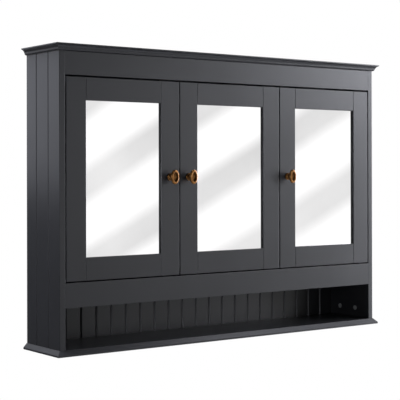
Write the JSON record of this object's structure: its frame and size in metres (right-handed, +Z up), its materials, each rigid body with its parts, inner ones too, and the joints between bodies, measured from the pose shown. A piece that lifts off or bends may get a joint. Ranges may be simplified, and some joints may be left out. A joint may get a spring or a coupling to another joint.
{
  "type": "medicine cabinet with mirror",
  "caption": "Wall-hung bathroom cabinet with framed mirror doors on concealed hinges, inner shelves, a moulded crown and an open niche with a grooved back below.",
  "frame": {"origin": "on the wall plane, midway between the two hanging screw holes", "axes": "+X to the right when facing the doors, +Y into the wall, +Z up"},
  "size_m": [1.003, 0.1796, 0.706],
  "materials": {
    "painted_board": "satin anthracite paint on board",
    "mirror_glass": "polished silvered glass",
    "hardboard": "plain pressed board",
    "aged_copper": "darkened copper with worn highlights",
    "plated_steel": "nickel plated",
    "zinc": "dull zinc plate",
    "cover_plastic": "light grey moulded plastic",
    "catch_plastic": "dark moulded plastic",
    "beech": "plain turned beech"
  },
  "bodies": {
    "cabinet": {"left_side_panel": "painted_board", "right_side_panel": "painted_board", "partition": "painted_board", "crown_board": "painted_board", "bottom_board": "painted_board", "upper_fascia": "painted_board", "lower_fascia": "painted_board", "cabinet_floor": "painted_board", "back_panel": "painted_board", "hanging_rail": "painted_board", "lower_wide_shelf": "painted_board", "upper_wide_shelf": "painted_board", "lower_narrow_shelf": "painted_board", "upper_narrow_shelf": "painted_board", "shelf_pins": "plated_steel", "cam_locks": "zinc", "cam_covers": "cover_plastic", "cam_bolts": "zinc", "dowels": "beech", "back_panel_screws": "zinc", "magnetic_catches": "catch_plastic", "hinge_arms": "plated_steel", "hinge_plates": "plated_steel", "hinge_plate_screws": "zinc"},
    "left_door": {"left_hinge_stile": "painted_board", "left_knob_stile": "painted_board", "left_bottom_rail": "painted_board", "left_top_rail": "painted_board", "left_mirror": "mirror_glass", "left_backing_board": "hardboard", "left_mirror_clips": "plated_steel", "left_knob": "aged_copper", "left_knob_screw": "zinc", "left_hinge_cups": "plated_steel", "left_hinge_pins": "plated_steel", "left_strike_plate": "zinc"},
    "middle_door": {"middle_hinge_stile": "painted_board", "middle_knob_stile": "painted_board", "middle_bottom_rail": "painted_board", "middle_top_rail": "painted_board", "middle_mirror": "mirror_glass", "middle_backing_board": "hardboard", "middle_mirror_clips": "plated_steel", "middle_knob": "aged_copper", "middle_knob_screw": "zinc", "middle_hinge_cups": "plated_steel", "middle_hinge_pins": "plated_steel", "middle_strike_plate": "zinc"},
    "right_door": {"right_hinge_stile": "painted_board", "right_knob_stile": "painted_board", "right_bottom_rail": "painted_board", "right_top_rail": "painted_board", "right_mirror": "mirror_glass", "right_backing_board": "hardboard", "right_mirror_clips": "plated_steel", "right_knob": "aged_copper", "right_knob_screw": "zinc", "right_hinge_cups": "plated_steel", "right_hinge_pins": "plated_steel", "right_strike_plate": "zinc"}
  },
  "joints": [
    {"name": "left_door_hinge", "type": "hinge", "parent": "cabinet", "child": "left_door", "pos_m": [-0.4595, -0.1485, 0], "axis": [0, 0, -1], "range_deg": [0, 95]},
    {"name": "middle_door_hinge", "type": "hinge", "parent": "cabinet", "child": "middle_door", "pos_m": [0.14533, -0.1485, 0], "axis": [0, 0, 1], "range_deg": [0, 95]},
    {"name": "right_door_hinge", "type": "hinge", "parent": "cabinet", "child": "right_door", "pos_m": [0.4595, -0.1485, 0], "axis": [0, 0, 1], "range_deg": [0, 95]}
  ]
}
